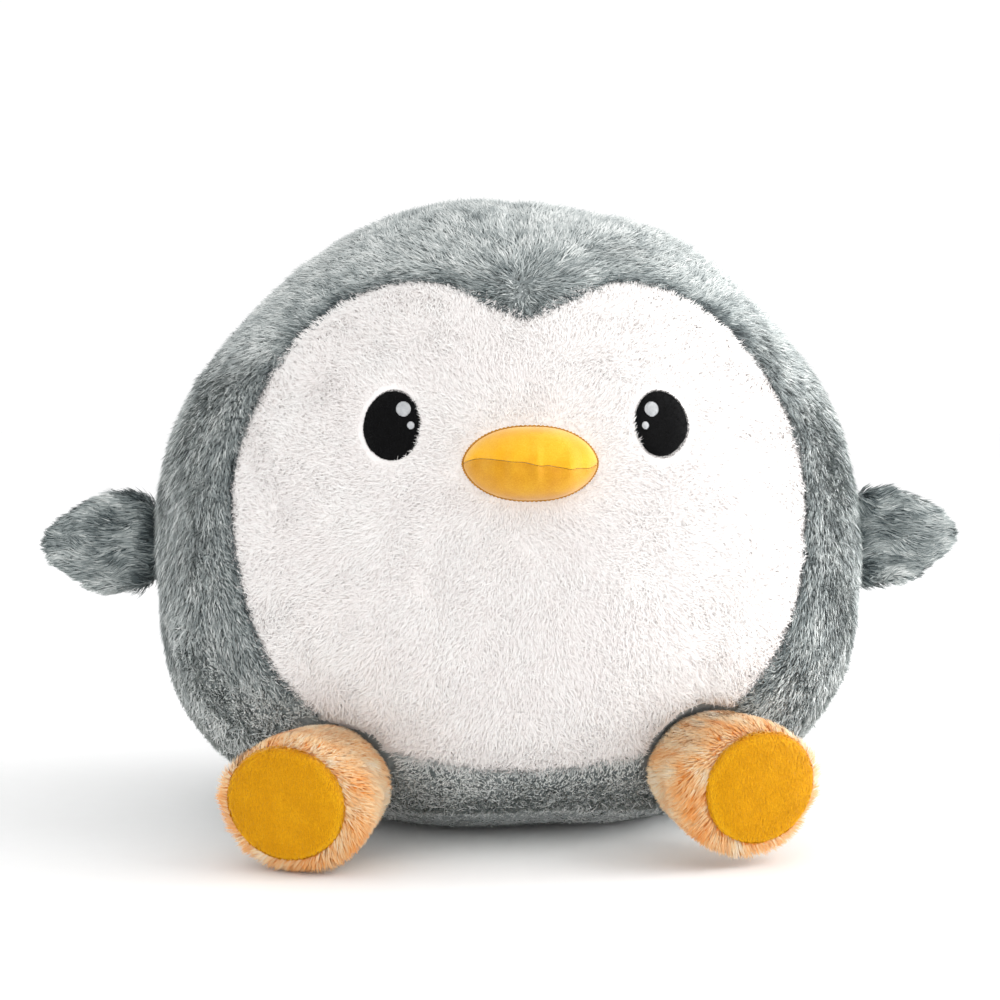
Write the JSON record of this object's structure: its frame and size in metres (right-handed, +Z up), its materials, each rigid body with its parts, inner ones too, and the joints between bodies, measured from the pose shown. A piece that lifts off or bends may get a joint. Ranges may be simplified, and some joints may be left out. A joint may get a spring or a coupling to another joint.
{
  "type": "plush penguin",
  "caption": "Round stuffed penguin in grey and white faux fur, with felt eyes, a padded yellow beak, soft side wings and splayed barrel feet.",
  "frame": {"origin": "on the resting surface, under the middle of the bounding box", "axes": "+Z up; the toy faces -Y; its own left side is +X"},
  "size_m": [0.5016, 0.3696, 0.323],
  "materials": {
    "grey_fur": "matte",
    "white_fur": "matte",
    "peach_fur": "matte",
    "gold_velour": "matte",
    "yellow_velour": "matte",
    "black_velvet": "matte",
    "pale_thread": "satin",
    "fibrefill": "matte"
  },
  "bodies": {
    "body": {"face_panel": "white_fur", "base_panel": "grey_fur", "body_stuffing": "fibrefill", "beak_upper": "yellow_velour", "beak_lower": "yellow_velour", "beak_stuffing": "fibrefill", "front_gore_left": "grey_fur", "back_gore_left": "grey_fur", "eye_left": "black_velvet", "eye_highlight_large_left": "pale_thread", "eye_highlight_small_left": "pale_thread", "front_gore_right": "grey_fur", "back_gore_right": "grey_fur", "eye_right": "black_velvet", "eye_highlight_large_right": "pale_thread", "eye_highlight_small_right": "pale_thread"},
    "wing_left": {"wing_front_left": "grey_fur", "wing_back_left": "grey_fur", "wing_stuffing_left": "fibrefill"},
    "foot_left": {"foot_tube_left": "peach_fur", "foot_sole_left": "gold_velour", "foot_stuffing_left": "fibrefill"},
    "wing_right": {"wing_front_right": "grey_fur", "wing_back_right": "grey_fur", "wing_stuffing_right": "fibrefill"},
    "foot_right": {"foot_tube_right": "peach_fur", "foot_sole_right": "gold_velour", "foot_stuffing_right": "fibrefill"}
  },
  "joints": [
    {"name": "wing_left_swing", "type": "hinge", "parent": "body", "child": "wing_left", "pos_m": [0.19442, 0.02864, 0.141], "axis": [0, 0, -1], "range_deg": [-45, 55], "stiffness_Nm_per_rad": 0.05},
    {"name": "foot_left_tilt", "type": "hinge", "parent": "body", "child": "foot_left", "pos_m": [0.09069, -0.13498, 0.04094], "axis": [-0.8988, -0.4384, 0], "range_deg": [-12, 10], "stiffness_Nm_per_rad": 0.4},
    {"name": "wing_right_swing", "type": "hinge", "parent": "body", "child": "wing_right", "pos_m": [-0.19442, 0.02864, 0.141], "axis": [0, 0, 1], "range_deg": [-45, 55], "stiffness_Nm_per_rad": 0.05},
    {"name": "foot_right_tilt", "type": "hinge", "parent": "body", "child": "foot_right", "pos_m": [-0.09669, -0.13498, 0.03594], "axis": [-0.8988, 0.4384, 0], "range_deg": [-12, 10], "stiffness_Nm_per_rad": 0.4}
  ]
}
